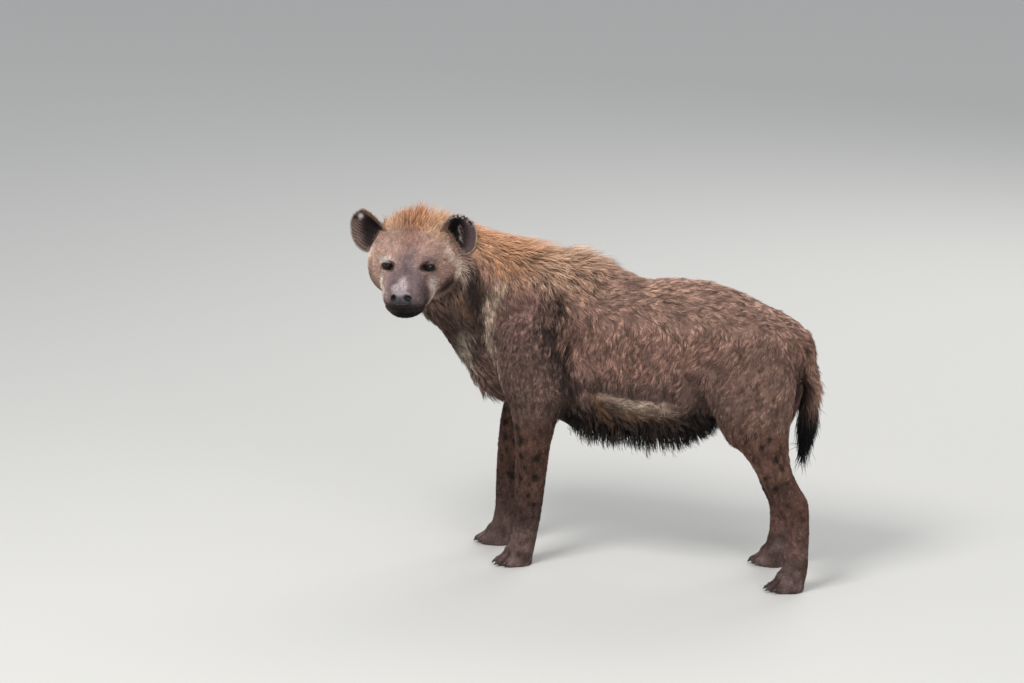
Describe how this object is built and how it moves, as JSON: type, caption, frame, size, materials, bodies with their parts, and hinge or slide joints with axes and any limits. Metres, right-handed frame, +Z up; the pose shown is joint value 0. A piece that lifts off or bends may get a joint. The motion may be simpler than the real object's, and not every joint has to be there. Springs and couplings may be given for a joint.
{
  "type": "spotted hyena",
  "caption": "Life-size spotted hyena standing on level ground with a full belly, its tail hanging and its head turned to look over its left shoulder.",
  "frame": {"origin": "on the floor under the middle of the animal's bounding box", "axes": "+X from the chest towards the tail, -Y out of the animal's left side, +Z up"},
  "size_m": [1.2142, 0.4774, 0.9425],
  "materials": {
    "coat": "rough matt fur",
    "mane": "rough matt fur",
    "limb": "short matt fur",
    "paw": "muddy fur and bare pads",
    "ear": "thin dark skin",
    "jaw": "short dark fur",
    "nose": "moist bare skin",
    "eye": "wet",
    "brush": "coarse hair"
  },
  "bodies": {
    "root": {"torso": "coat", "neck": "mane", "head": "coat", "lower_jaw": "jaw", "nose": "nose", "eye_left": "eye", "eye_right": "eye", "ear_left": "ear", "ear_right": "ear", "foreleg_left": "limb", "foreleg_right": "limb", "hindleg_left": "limb", "hindleg_right": "limb", "forepaw_left": "paw", "forepaw_right": "paw", "hindpaw_left": "paw", "hindpaw_right": "paw", "tail": "brush"}
  },
  "joints": []
}
